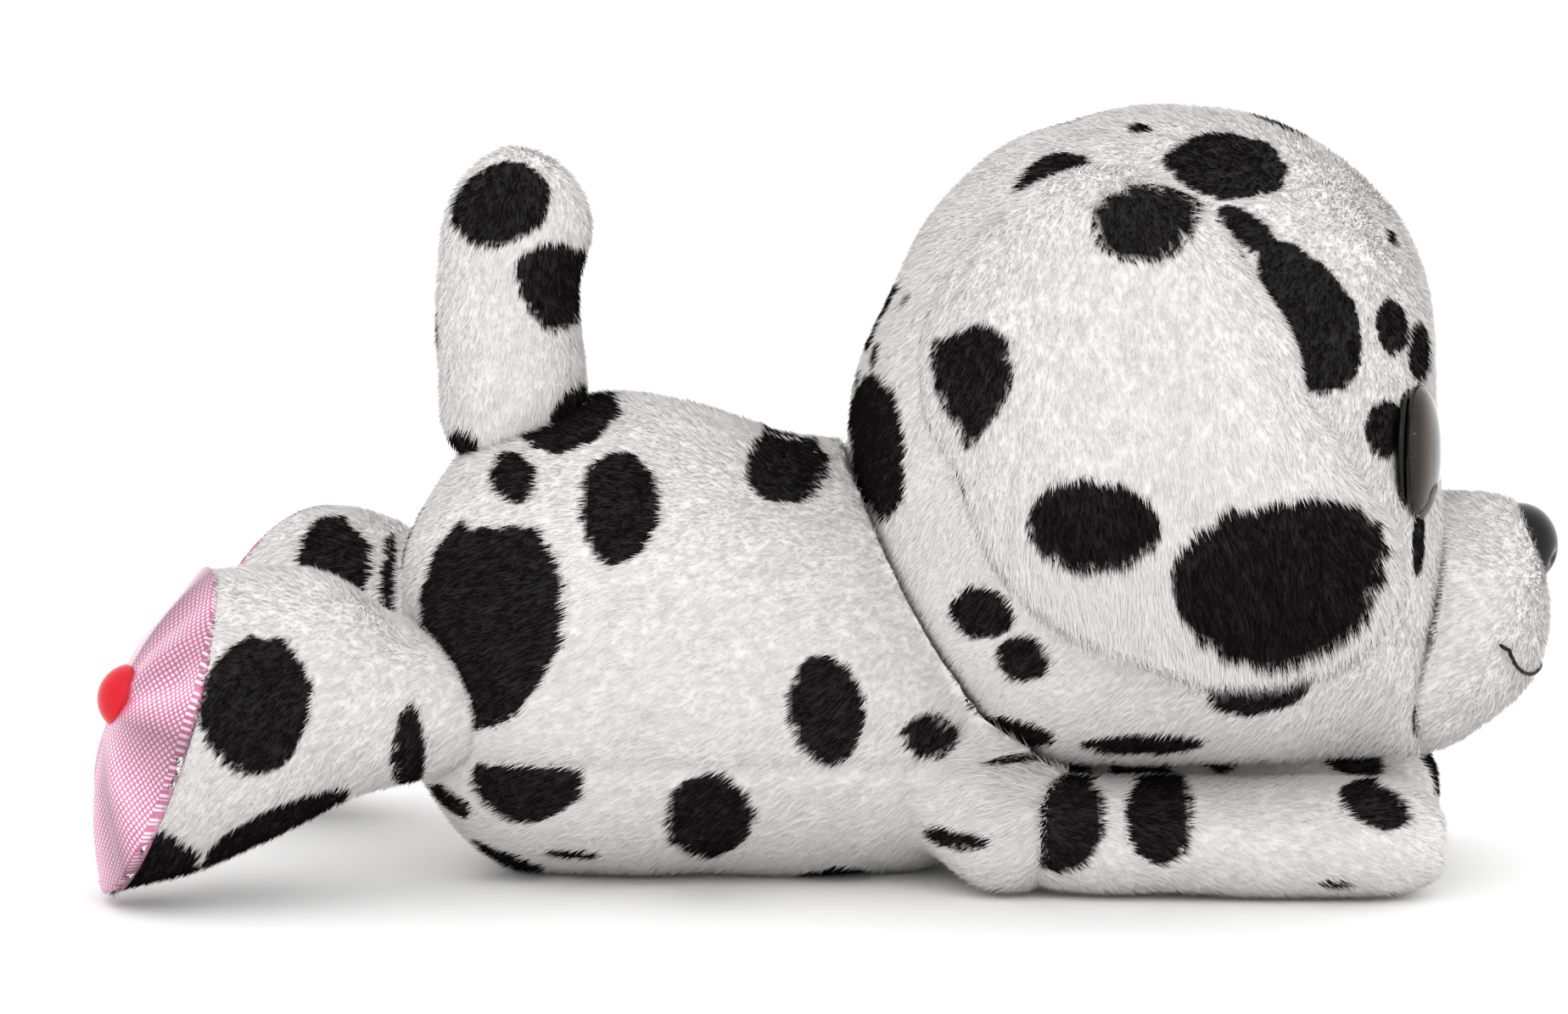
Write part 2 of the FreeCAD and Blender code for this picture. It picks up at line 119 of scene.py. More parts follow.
BELLY_SPOTS = [
    ("right", -47, 18.5, 9.2, 6.4, 0, 0.3),
    ("right", -17, 13.6, 7.2, 8, 0, 0),
    ("right", -59.5, 14.5, 4.2, 2.2, -35, 0),
    ("right", 24, 10.5, 5, 1.9, 0, 0),
    ("right", -39, 6, 5, 1, 0, 0),
    ("left", -20, 14, 7, 5, 10, 0),
    ("left", -48, 16, 6, 5, 0, 0),
    ("left", 12, 16, 7, 5, 0, 0),
    ("below", -30, 6, 9, 7, 20, 0),
    ("below", 4, -8, 7, 6, 0, 0),
    ("below", -50, -10, 6, 5, 0, 0),
]
HEAD_SPOTS = [
    ("right", 20.5, 116, 5.8, 2.1, 48, 0),
    ("right", 39.5, 118.2, 6.4, 3.2, 25, 0),
    ("above", 54, -15, 1.8, 2.4, 30, 0),
    ("right", 67.5, 120.3, 10, 4.8, -6, 0),
    ("right", 79, 98, 7.4, 13, 26, -0.3),
    ("right", 70.5, 110.5, 6, 2.6, -38, 0),
    ("right", 94, 94.7, 2.8, 4.6, 14, 0),
    ("right", 99, 90, 2.2, 4.8, 0, 0),
    ("right", 92.5, 79, 3.4, 4.6, 0, 0),
    ("front", -14, 108, 2.4, 1.4, 20, 0),
    ("right", 11, 74, 4.3, 11.8, 2, 0),
    ("right", 8.2, 91, 0.9, 5, 0, 0),
    ("right", 27.5, 49, 4.8, 5, 25, 0),
    ("right", 34, 41.5, 4.4, 4, -25, 0),
    ("right", 41, 50.4, 7, 2.6, -22, 0),
    ("right", 51.5, 48, 3, 1, -15, 0),
    ("right", 73, 37.6, 8.9, 5.2, 16, 0),
    ("right", 98.7, 59.5, 1.2, 5.6, 0, 0),
    ("right", 101, 29, 1.8, 3.6, 0, 0),
    ("right", 54, 26, 10, 2.2, 0, 0),
    ("right", 34, 27.6, 6, 2.4, -10, 0),
    ("left", 70, 112, 11, 7, -15, 0),
    ("left", 88, 92, 7, 9, 20, 0),
    ("left", 93, 52, 6, 7, 0, 0),
    ("left", 60, 36, 9, 6, -10, 0),
    ("left", 16, 60, 7, 11, 10, 0),
    ("left", 14, 92, 5, 8, 0, 0),
    ("back", 18, 100, 8, 6, 20, 0),
    ("back", -8, 60, 6, 7, 0, 0),
    ("above", 44, 10, 8, 6, 20, 0),
    ("above", 78, -2, 5, 4, 0, 0),
    ("below", 60, 8, 9, 6, 0, 0),
]
EAR_SPOTS = [
    ("right", 53, 112.6, 8.8, 5.6, 4, 0),
    ("right", 25.2, 87, 6.0, 9.4, -6, 0.6),
    ("right", 44.2, 66.2, 10.8, 7.2, -4, 0),
    ("right", 74.5, 57, 17.8, 13.4, 8, 0),
    ("left", 60, 106, 10, 7, 15, 0),
    ("left", 30, 76, 9, 8, 0, 0),
    ("left", 56, 80, 7, 6, 30, 0),
    ("left", 66, 54, 15, 10, -8, 0),
]
TAIL_SPOTS = [
    ("right", -52, 113, 8.4, 6.4, 22, 0),
    ("right", -42, 99, 6.8, 7.2, -12, 0.4),
    ("right", -34, 113, 1, 2.8, 0, 0),
    ("right", -58.5, 72.5, 3.2, 3, 0, 0),
    ("left", -50, 104, 7, 7, 0, 0),
    ("left", -46, 86, 6, 4, 20, 0),
    ("back", 4, 92, 6, 5, 0, 0),
    ("front", -3, 78, 6, 5, 0, 0),
]
FRONT_LEG_SPOTS = [
    ("right", 39.5, 14, 8.2, 8.4, 0, 0),
    ("right", 56, 14.2, 5.8, 7.2, 0, 0),
    ("right", 91.5, 16, 6, 2.8, -16, 0),
    ("right", 85, 3.8, 2.8, 0.7, 0, 0),
    ("above", 70, 20, 6, 5, 20, 0),
    ("above", 106, 24, 4, 6, 0, 0),
    ("above", 60, 30, 7, 5, -20, 0),
    ("left", 96, 10, 6, 5, 0, 0),
    ("left", 70, 12, 7, 6, 0, 0),
]
REAR_LEG_SPOTS = {
    "right": [
        ("right", -90, 35, 8.9, 10.8, 6, 0),
        ("right", -112, 8.5, 12, 8.6, -14, 0),
        ("right", -88, 12, 13, 4.6, 28, 0),
        ("right", -66, 24, 2.6, 8.5, 0, 0),
        ("left", -88, 34, 8, 8, 0, 0),
        ("below", -94, -20, 8, 6, 0, 0),
    ],
    "left": [
        ("right", -82, 46.5, 6.2, 7.6, 8, 0.2),
        ("right", -72.5, 44, 1.3, 8, 0, 0),
        ("right", -88, 20, 6, 8, 0, 0),
        ("left", -78, 34, 9, 10, 0, 0),
        ("left", -92, 14, 7, 6, 20, 0),
        ("above", -92, 58, 5, 6, 0, 0),
        ("below", -84, 46, 8, 6, 30, 0),
    ],
}

# ---- ear, seen from the side, in mm ------------------------------------------------------
EAR_MIDDLE = (55.0, 80.0)
EAR_OUTLINE = [(29, 110), (33.5, 115), (45, 120), (57, 119), (62, 115), (70, 103.5), (78, 84), (86, 70),
               (92, 61.5), (92, 54.5), (87, 47), (78, 42), (64, 41.5), (53, 45.5), (39.5, 51), (31, 58.5),
               (25, 73), (19.5, 78), (17.5, 90), (21.5, 101.5)]

# ---- materials -------------------------------------------------------------------------
WHITE_COATS = [(0.915, 0.885, 0.87), (0.925, 0.90, 0.885), (0.905, 0.87, 0.855)]
BLACK_COATS = [(0.005, 0.004, 0.004), (0.008, 0.006, 0.006), (0.014, 0.013, 0.016)]


def principled(name):
    material = bpy.data.materials.new(name)
    material.use_nodes = True
    return material, material.node_tree, material.node_tree.nodes["Principled BSDF"]


def coat_material(name, colour):
    """One shade of the pile: a matt fibre."""
    material, _, shader = principled(name)
    shader.inputs["Base Color"].default_value = (*colour, 1)
    shader.inputs["Roughness"].default_value = 0.95
    shader.inputs["Specular IOR Level"].default_value = 0.04
    return material


def backing_material():
    """Knitted backing under the pile: spots from the coat attribute, with a fine uneven weave."""
    material, tree, shader = principled("plush_backing")
    coat = tree.nodes.new("ShaderNodeAttribute")
    coat.attribute_name = "coat"
    weave = tree.nodes.new("ShaderNodeTexNoise")
    weave.inputs["Scale"].default_value = 1400.0
    weave.inputs["Detail"].default_value = 3.0
    shade = tree.nodes.new("ShaderNodeMapRange")
    shade.inputs["To Min"].default_value = 0.78
    shade.inputs["To Max"].default_value = 1.0
    mix = tree.nodes.new("ShaderNodeVectorMath")
    mix.operation = "SCALE"
    tree.links.new(weave.outputs["Fac"], shade.inputs["Value"])
    tree.links.new(coat.outputs["Color"], mix.inputs[0])
    tree.links.new(shade.outputs["Result"], mix.inputs["Scale"])
    tree.links.new(mix.outputs["Vector"], shader.inputs["Base Color"])
    bump = tree.nodes.new("ShaderNodeBump")
    bump.inputs["Strength"].default_value = 0.3
    bump.inputs["Distance"].default_value = 0.1 * MM
    tree.links.new(weave.outputs["Fac"], bump.inputs["Height"])
    tree.links.new(bump.outputs["Normal"], shader.inputs["Normal"])
    shader.inputs["Roughness"].default_value = 0.85
    return material


def plastic_material(name, colour, roughness, gloss):
    """Moulded plastic with the faint unevenness of a polished tool."""
    material, tree, shader = principled(name)
    shader.inputs["Base Color"].default_value = (*colour, 1)
    shader.inputs["Roughness"].default_value = roughness
    shader.inputs["Specular IOR Level"].default_value = gloss
    ripple = tree.nodes.new("ShaderNodeTexNoise")
    ripple.inputs["Scale"].default_value = 260.0
    bump = tree.nodes.new("ShaderNodeBump")
    bump.inputs["Strength"].default_value = 0.05
    bump.inputs["Distance"].default_value = 0.05 * MM
    tree.links.new(ripple.outputs["Fac"], bump.inputs["Height"])
    tree.links.new(bump.outputs["Normal"], shader.inputs["Normal"])
    return material


def lens_material():
    material, _, shader = principled("clear_lens")
    shader.inputs["Base Color"].default_value = (1, 1, 1, 1)
    shader.inputs["Roughness"].default_value = 0.02
    shader.inputs["IOR"].default_value = 1.36
    shader.inputs["Transmission Weight"].default_value = 1.0
    return material


def iris_material():
    """Dark brown ring with fine streaks round a black pupil; U of the map runs from centre to rim."""
    material, tree, shader = principled("iris")
    place = tree.nodes.new("ShaderNodeUVMap")
    streaks = tree.nodes.new("ShaderNodeTexNoise")
    stretch = tree.nodes.new("ShaderNodeMapping")
    stretch.inputs["Scale"].default_value = (1.5, 60.0, 1.0)
    streaks.inputs["Scale"].default_value = 2.0
    split = tree.nodes.new("ShaderNodeSeparateXYZ")
    ring = tree.nodes.new("ShaderNodeValToRGB")
    ring.color_ramp.elements[0].position = 0.50
    ring.color_ramp.elements[0].color = (0.002, 0.002, 0.002, 1)
    ring.color_ramp.elements[1].position = 1.0
    ring.color_ramp.elements[1].color = (0.006, 0.004, 0.003, 1)
    brown = ring.color_ramp.elements.new(0.56)
    brown.color = (0.075, 0.035, 0.016, 1)
    amber = ring.color_ramp.elements.new(0.80)
    amber.color = (0.050, 0.024, 0.012, 1)
    shade = tree.nodes.new("ShaderNodeMapRange")
    shade.inputs["To Min"].default_value = 0.55
    shade.inputs["To Max"].default_value = 1.35
    mix = tree.nodes.new("ShaderNodeVectorMath")
    mix.operation = "SCALE"
    tree.links.new(place.outputs["UV"], stretch.inputs["Vector"])
    tree.links.new(stretch.outputs["Vector"], streaks.inputs["Vector"])
    tree.links.new(place.outputs["UV"], split.inputs["Vector"])
    tree.links.new(split.outputs["X"], ring.inputs["Fac"])
    tree.links.new(streaks.outputs["Fac"], shade.inputs["Value"])
    tree.links.new(ring.outputs["Color"], mix.inputs[0])
    tree.links.new(shade.outputs["Result"], mix.inputs["Scale"])
    tree.links.new(mix.outputs["Vector"], shader.inputs["Base Color"])
    shader.inputs["Roughness"].default_value = 0.5
    shader.inputs["Specular IOR Level"].default_value = 0.1
    return material


def foil_material():
    """Pink satin printed with a fine mesh of silver foil dots, multiplied by a painted highlight and shade
    for each facet; the map is in millimetres.
    """
    material, tree, shader = principled("sole_foil")
    place = tree.nodes.new("ShaderNodeUVMap")
    turn = tree.nodes.new("ShaderNodeMapping")
    turn.inputs["Rotation"].default_value = (0, 0, math.radians(38))
    dots = tree.nodes.new("ShaderNodeTexVoronoi")
    dots.voronoi_dimensions = "2D"
    dots.inputs["Scale"].default_value = 1 / FOIL_DOT_PITCH
    dots.inputs["Randomness"].default_value = 0.0
    edge = tree.nodes.new("ShaderNodeMapRange")
    edge.inputs["From Min"].default_value = 0.30
    edge.inputs["From Max"].default_value = 0.38
    edge.inputs["To Min"].default_value = 1.0
    edge.inputs["To Max"].default_value = 0.0
    patch = tree.nodes.new("ShaderNodeTexNoise")
    patch.inputs["Scale"].default_value = 0.22
    pink = tree.nodes.new("ShaderNodeMixRGB")
    pink.inputs["Color1"].default_value = (0.42, 0.085, 0.20, 1)
    pink.inputs["Color2"].default_value = (0.62, 0.22, 0.37, 1)
    colour = tree.nodes.new("ShaderNodeMixRGB")
    colour.inputs["Color2"].default_value = (0.92, 0.70, 0.79, 1)
    bump = tree.nodes.new("ShaderNodeBump")
    bump.inputs["Strength"].default_value = 0.4
    bump.inputs["Distance"].default_value = 0.06 * MM
    for node in (dots, patch):
        tree.links.new(turn.outputs["Vector"], node.inputs["Vector"])
    tree.links.new(place.outputs["UV"], turn.inputs["Vector"])
    tree.links.new(dots.outputs["Distance"], edge.inputs["Value"])
    tree.links.new(patch.outputs["Fac"], pink.inputs["Fac"])
    tree.links.new(pink.outputs["Color"], colour.inputs["Color1"])
    tree.links.new(edge.outputs["Result"], colour.inputs["Fac"])
    # Painted highlight and shade: the colour is multiplied by the painted brightness of each facet.
    painted_glint = tree.nodes.new("ShaderNodeAttribute")
    painted_glint.attribute_name = "painted_glint"
    shade = tree.nodes.new("ShaderNodeVectorMath")
    shade.operation = "MULTIPLY"
    tree.links.new(colour.outputs["Color"], shade.inputs[0])
    tree.links.new(painted_glint.outputs["Color"], shade.inputs[1])
    tree.links.new(shade.outputs["Vector"], shader.inputs["Base Color"])
    tree.links.new(edge.outputs["Result"], shader.inputs["Metallic"])
    tree.links.new(edge.outputs["Result"], bump.inputs["Height"])
    tree.links.new(bump.outputs["Normal"], shader.inputs["Normal"])
    shader.inputs["Roughness"].default_value = 0.3
    return material


def fibre_material(name, colour):
    """Loose fibre, lining cloth or pellets inside the toy: one colour in uneven clumps."""
    material, tree, shader = principled(name)
    clumps = tree.nodes.new("ShaderNodeTexNoise")
    clumps.inputs["Scale"].default_value = 320.0
    ramp = tree.nodes.new("ShaderNodeValToRGB")
    ramp.color_ramp.elements[0].color = (*[c * 0.8 for c in colour], 1)
    ramp.color_ramp.elements[1].color = (*colour, 1)
    tree.links.new(clumps.outputs["Fac"], ramp.inputs["Fac"])
    tree.links.new(ramp.outputs["Color"], shader.inputs["Base Color"])
    shader.inputs["Roughness"].default_value = 0.9
    return material


COATS = [coat_material(f"pile_white_{i}", c) for i, c in enumerate(WHITE_COATS)]
COATS += [coat_material(f"pile_black_{i}", c) for i, c in enumerate(BLACK_COATS)]
BACKING = backing_material()
FOIL = foil_material()
BLACK_PLASTIC = plastic_material("black_plastic", (0.003, 0.003, 0.003), 0.08, 0.22)
RED_PLASTIC = plastic_material("red_plastic", (0.60, 0.004, 0.016), 0.12, 0.25)
WHITE_PLASTIC = plastic_material("white_plastic", (0.8, 0.8, 0.8), 0.4, 0.4)
THREAD = plastic_material("black_thread", (0.006, 0.005, 0.005), 0.6, 0.15)
FILLING = fibre_material("fibre_filling", (0.88, 0.88, 0.87))


# ---- meshes ----------------------------------------------------------------------------
def unit(vectors):
    return vectors / np.maximum(np.linalg.norm(vectors, axis=-1, keepdims=True), 1e-12)


def new_object(name, points, faces, smooth=True):
    mesh = bpy.data.meshes.new(name)
    faces = faces if isinstance(faces, list) else faces.tolist()
    mesh.from_pydata(np.array(points).tolist(), [], faces)
    mesh.polygons.foreach_set("use_smooth", [smooth] * len(mesh.polygons))
    mesh.update()
    piece = bpy.data.objects.new(name, mesh)
    bpy.context.scene.collection.objects.link(piece)
    return piece


def points_of(mesh):
    points = np.zeros(len(mesh.vertices) * 3)
    mesh.vertices.foreach_get("co", points)
    return points.reshape(-1, 3)


def set_points(mesh, points):
    mesh.vertices.foreach_set("co", points.ravel())
    mesh.update()


def normals_of(mesh):
    normals = np.zeros(len(mesh.vertices) * 3)
    mesh.vertex_normals.foreach_get("vector", normals)
    return normals.reshape(-1, 3)


def triangles_of(mesh):
    mesh.calc_loop_triangles()
    triangles = np.zeros(len(mesh.loop_triangles) * 3, np.int64)
    mesh.loop_triangles.foreach_get("vertices", triangles)
    return triangles.reshape(-1, 3)


def joined(nodes):
    """Points and triangles of several CAD nodes together."""
    points, faces, start = [], [], 0
    for node in nodes:
        mesh = frame["nodes"][node].data
        points.append(points_of(mesh))
        faces.append(triangles_of(mesh) + start)
        start += len(points[-1])
    return np.concatenate(points), np.concatenate(faces)


def hull_of(name, points):
    """Tight convex skin round a cloud of points."""
    hull = bmesh.new()
    for point in points:
        hull.verts.new(point)
    result = bmesh.ops.convex_hull(hull, input=hull.verts)
    spare = [g for g in result["geom_interior"] + result["geom_unused"] if isinstance(g, bmesh.types.BMVert)]
    bmesh.ops.delete(hull, geom=list(set(spare)), context="VERTS")
    mesh = bpy.data.meshes.new(name)
    hull.to_mesh(mesh)
    hull.free()
    piece = bpy.data.objects.new(name, mesh)
    bpy.context.scene.collection.objects.link(piece)
    return piece


def add_to(piece, other):
    """Put the surface of another object into this one, and remove the other."""
    work = bmesh.new()
    work.from_mesh(piece.data)
    work.from_mesh(other.data)
    work.to_mesh(piece.data)
    work.free()
    bpy.data.objects.remove(other)


def remeshed(piece, voxel):
    """Even quads all over, and only the outermost closed surface."""
    modifier = piece.modifiers.new("even", "REMESH")
    modifier.mode = "VOXEL"
    modifier.voxel_size = voxel
    graph = bpy.context.evaluated_depsgraph_get()
    mesh = bpy.data.meshes.new_from_object(piece.evaluated_get(graph))
    piece.modifiers.clear()
    piece.data = mesh
    drop_inner_shells(piece)
    return piece


def drop_inner_shells(piece):
    mesh = piece.data
    count = len(mesh.vertices)
    edges = np.zeros(len(mesh.edges) * 2, np.int64)
    mesh.edges.foreach_get("vertices", edges)
    edges = edges.reshape(-1, 2)
    label = np.arange(count)
    while True:
        low = np.minimum(label[edges[:, 0]], label[edges[:, 1]])
        new = label.copy()
        np.minimum.at(new, edges[:, 0], low)
        np.minimum.at(new, edges[:, 1], low)
        new = new[new]
        if (new == label).all():
            break
        label = new
    names, sizes = np.unique(label, return_counts=True)
    if len(names) == 1:
        return
    outer = names[sizes.argmax()]
    work = bmesh.new()
    work.from_mesh(mesh)
    work.verts.ensure_lookup_table()
    spare = [work.verts[i] for i in np.nonzero(label != outer)[0]]
    bmesh.ops.delete(work, geom=spare, context="VERTS")
    work.to_mesh(mesh)
    work.free()


def smoothed(piece, rounds):
    """Relax the surface without shrinking it."""
    mesh = piece.data
    points = points_of(mesh)
    edges = np.zeros(len(mesh.edges) * 2, np.int64)
    mesh.edges.foreach_get("vertices", edges)
    first, second = edges.reshape(-1, 2).T
    degree = np.bincount(first, minlength=len(points)) + np.bincount(second, minlength=len(points))
    for turn in range(rounds * 2):
        total = np.zeros_like(points)
        np.add.at(total, first, points[second])
        np.add.at(total, second, points[first])
        step = 0.5 if turn % 2 == 0 else -0.52
        points += step * (total / degree[:, None] - points)
    set_points(mesh, points)


def waves(points, size, seed):
    """Smooth random field from -1 to 1 that changes over about size."""
    rng = np.random.default_rng(seed)
    total = np.zeros(len(points))
    for _ in range(5):
        direction = unit(rng.normal(size=3))
        total += np.sin(points @ direction * 2 * math.pi / (size * rng.uniform(0.8, 1.6)) + rng.uniform(0, 7))
    return total / 2.6


def press_in(piece, depth):
    """Move the surface along its inward normal."""
    points = points_of(piece.data)
    points -= normals_of(piece.data) * np.asarray(depth).reshape(-1, 1)
    set_points(piece.data, points)


def seam_depth(distance):
    return SEAM_DEPTH * np.exp(-((distance / SEAM_HALF_WIDTH) ** 2))


# ---- spots -----------------------------------------------------------------------------
def spotted(spots):
    """Rule that says whether each point of the coat lies in a spot, with irregular outlines."""
    def is_black(points, normals):
        black = np.zeros(len(points), bool)
        wobble = 0.10 * waves(points, 12 * MM, 3) + 0.08 * waves(points, 5 * MM, 4)
        edge = 0.15 * waves(points, 8 * MM, 5)
        for view, across, up, half_across, half_up, tilt, taper in spots:
            right, top, toward = (np.array(v, float) for v in VIEWS[view])
            a = points @ right / MM - across
            b = points @ top / MM - up
            turn = math.radians(tilt)
            over = (b * math.cos(turn) - a * math.sin(turn)) / half_up
            width = half_across * np.clip(1 + taper * over, 0.1, 2.0)
            along = (a * math.cos(turn) + b * math.sin(turn)) / width
            inside = along ** 2 + over ** 2 < 1 + wobble
            black |= inside & (normals @ toward > -0.1 + edge)
        return black
    return is_black


def paint(piece, is_black):
    mesh = piece.data
    black = is_black(points_of(mesh), normals_of(mesh))
    colours = np.ones((len(black), 4))
    colours[:, :3] = np.where(black[:, None], BLACK_COATS[0], WHITE_COATS[1])
    layer = mesh.color_attributes.get("coat") or mesh.color_attributes.new("coat", "FLOAT_COLOR", "POINT")
    layer.data.foreach_set("color", colours.ravel())
    mesh.materials.clear()
    mesh.materials.append(BACKING)


# ---- pile ------------------------------------------------------------------------------
def strand_mesh(name, roots, directions, lengths, widths, normals, shades, rng):
    """Closed three-sided spikes, one for each root."""
    count = len(roots)
    side = unit(np.cross(directions, rng.normal(size=(count, 3))))
    other = np.cross(directions, side)
    points = np.zeros((count, 4, 3))
    for corner in range(3):
        angle = 2 * math.pi * corner / 3
        spread = side * math.cos(angle) + other * math.sin(angle)
        points[:, corner] = roots + spread * widths[:, None] / 2
    points[:, 3] = roots + directions * lengths[:, None]
    points[:, :, 2] = np.maximum(points[:, :, 2], FLOOR_CLEARANCE)
    pattern = np.array([(0, 1, 3), (1, 2, 3), (2, 0, 3), (0, 2, 1)])
    faces = (np.arange(count)[:, None, None] * 4 + pattern).reshape(-1, 3)
    piece = new_object(name, points.reshape(-1, 3), faces)
    soft = unit(normals + side * 0.08)
    piece.data.normals_split_custom_set_from_vertices(np.repeat(soft, 4, axis=0).tolist())
    for material in COATS:
        piece.data.materials.append(material)
    piece.data.polygons.foreach_set("material_index", np.repeat(shades, 4).astype(np.int32))
    return piece


def planted(name, skin, is_black, nap, length=None, seed=1):
    """Pieces of pile over a whole skin, combed along nap, longer where length says."""
    rng = np.random.default_rng(seed)
    points, normals = points_of(skin.data), normals_of(skin.data)
    corners = triangles_of(skin.data)
    a, b, c = (points[corners[:, i]] for i in range(3))
    area = np.linalg.norm(np.cross(b - a, c - a), axis=1) / 2
    total = int(area.sum() / MM ** 2 * STRANDS_PER_MM2)
    parts = math.ceil(total / MOST_STRANDS)
    piles = []
    for part in range(parts):
        count = total // parts
        chosen = rng.choice(len(area), count, p=area / area.sum())
        u, v = rng.random(count), rng.random(count)
        over = u + v > 1
        u[over], v[over] = 1 - u[over], 1 - v[over]
        weight = np.stack([1 - u - v, u, v], axis=1)[:, :, None]
        roots = (points[corners[chosen]] * weight).sum(axis=1)
        upright = unit((normals[corners[chosen]] * weight).sum(axis=1))
        lengths = STRAND_LENGTH * rng.uniform(0.75, 1.2, count)
        if length is not None:
            lengths = lengths * length(roots)
        widths = STRAND_WIDTH * rng.uniform(0.8, 1.2, count)
        shades = np.where(is_black(roots, upright), 3, 0) + rng.choice(3, count, p=(0.45, 0.4, 0.15))
        sunk = roots - upright * 0.1 * MM
        directions = combed(roots, upright, nap, rng)
        pile = strand_mesh(f"{name}_{part + 1}", sunk, directions, lengths, widths, upright, shades, rng)
        piles.append(pile)
    return piles


def combed(roots, upright, nap, rng):
    """Direction of each strand: laid over along the nap, with drifting and random differences."""
    count = len(roots)
    lay = nap(roots) + 0.16 * np.stack([waves(roots, 9 * MM, seed) for seed in (11, 12, 13)], axis=1)
    lay += 0.12 * rng.normal(size=(count, 3))
    flat = unit(lay - (lay * upright).sum(axis=1, keepdims=True) * upright)
    lean = np.radians(STRAND_LEAN_DEG + 6 * rng.normal(size=count))[:, None]
    return unit(upright * np.cos(lean) + flat * np.sin(lean))


def constant_nap(x, y, z):
    direction = np.array([x, y, z], float)
    return lambda roots: np.broadcast_to(direction, roots.shape)


# ---- how each skin hangs on the frame ---------------------------------------------------
def joint(name):
    return next(j for j in frame["joints"] if j["name"] == name)


def attach(piece, rule):
    if len(rule) == 1:
        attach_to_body(piece, rule[0])
    else:
        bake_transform(piece)
    return piece


# ---- camera, floor and light -----------------------------------------------------------
def make_camera():
    camera = bpy.data.objects.new("camera", bpy.data.cameras.new("camera"))
    bpy.context.scene.collection.objects.link(camera)
    bpy.context.scene.camera = camera
    distance, elevation = 1.1, math.radians(7.5)
    target = Vector((-0.0049, 0.0, 0.0612))
    back = Vector((0, -math.cos(elevation), math.sin(elevation)))
    camera.location = target + back * distance
    camera.rotation_euler = (-back).to_track_quat("-Z", "Y").to_euler()
    camera.data.lens = 150.6
    camera.data.sensor_width = 36.0
    camera.data.clip_start = 0.01


def make_stage():
    size = 3.0
    corners = np.array([(-size, -size, 0), (size, -size, 0), (size, size, 0), (-size, size, 0)])
    floor = new_object("floor", corners, np.array([(0, 1, 2, 3)]), smooth=False)
    material, _, shader = principled("floor_paper")
    shader.inputs["Base Color"].default_value = (0.97, 0.97, 0.97, 1)
    shader.inputs["Roughness"].default_value = 0.9
    floor.data.materials.append(material)


def area_light(name, place, aim, size, power):
    light = bpy.data.lights.new(name, "AREA")
    light.shape = "DISK"
    light.size = size
    light.energy = power
    lamp = bpy.data.objects.new(name, light)
    bpy.context.scene.collection.objects.link(lamp)
    lamp.location = place
    lamp.rotation_euler = (Vector(aim) - Vector(place)).to_track_quat("-Z", "Y").to_euler()


def make_light():
    bpy.context.scene.view_settings.view_transform = "Standard"
    world = bpy.data.worlds.new("studio")
    bpy.context.scene.world = world
    world.use_nodes = True
    background = world.node_tree.nodes["Background"]
    background.inputs["Color"].default_value = (1, 1, 1, 1)
    background.inputs["Strength"].default_value = 1.32
    area_light("key", (-0.4, -1.0, 1.0), (0, 0, 0.05), 0.8, 1.2)
    area_light("fill", (0.9, -0.9, 0.6), (0, 0, 0.05), 1.0, 0.6)
    area_light("sparkle", (0.5, -1.1, 1.0), (0.1, 0, 0.06), 0.12, 0.8)


# ---- the stuffed parts -----------------------------------------------------------------
def skin_of(piece, is_black):
    """Turn rough closed surfaces into one even, slightly uneven skin that carries the spots."""
    remeshed(piece, SKIN_VOXEL)
    smoothed(piece, 3)
    press_in(piece, PILE_HEIGHT)
    swell = 0.5 * MM * waves(points_of(piece.data), 24 * MM, 7)
    press_in(piece, -swell)
    piece.data.polygons.foreach_set("use_smooth", [True] * len(piece.data.polygons))
    paint(piece, is_black)
    return piece


def finish_skin(skin, nodes, rule, piles):
    attach(skin, rule)
    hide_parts(*nodes)
    for pile in piles:
        attach(pile, rule)


def revolved(name, profile, centre, axis, segments=96):
    """Closed surface of revolution; the profile's (radius, height) points start and end on the axis."""
    axis = unit(np.array(axis, float))
    side = unit(np.cross(axis, (0.0, 0.0, 1.0)))
    other = np.cross(axis, side)
    angles = np.arange(segments) * 2 * math.pi / segments
    spokes = np.cos(angles)[:, None] * side + np.sin(angles)[:, None] * other
    points = [np.array(centre) + axis * profile[0][1]]
    for radius, height in profile[1:-1]:
        points.extend(np.array(centre) + axis * height + spokes * radius)
    points.append(np.array(centre) + axis * profile[-1][1])
    faces, rings = [], len(profile) - 2
    for i in range(segments):
        j = (i + 1) % segments
        faces.append((0, 1 + j, 1 + i))
        for ring in range(rings - 1):
            a, b = 1 + ring * segments, 1 + (ring + 1) * segments
            faces.append((a + i, a + j, b + j, b + i))
        last = 1 + (rings - 1) * segments
        faces.append((last + i, last + j, len(points) - 1))
    return new_object(name, points, faces)


def arc(radius, height, base, steps, power=2.0):
    """Profile of a dome from its rim to its top."""
    turns = [math.pi / 2 * i / steps for i in range(steps + 1)]
    rim = [(radius * math.cos(t) ** (2 / power), base + height * math.sin(t)) for t in turns[:-1]]
    return rim + [(0, base + height)]


def eye_frame(side):
    """Middle of the back of an eye, and the direction it looks in."""
    back = points_of(frame["nodes"]["eye_iris_" + side].data).mean(axis=0)
    front = points_of(frame["nodes"]["eye_lens_" + side].data).mean(axis=0)
    return back, unit(front - back)


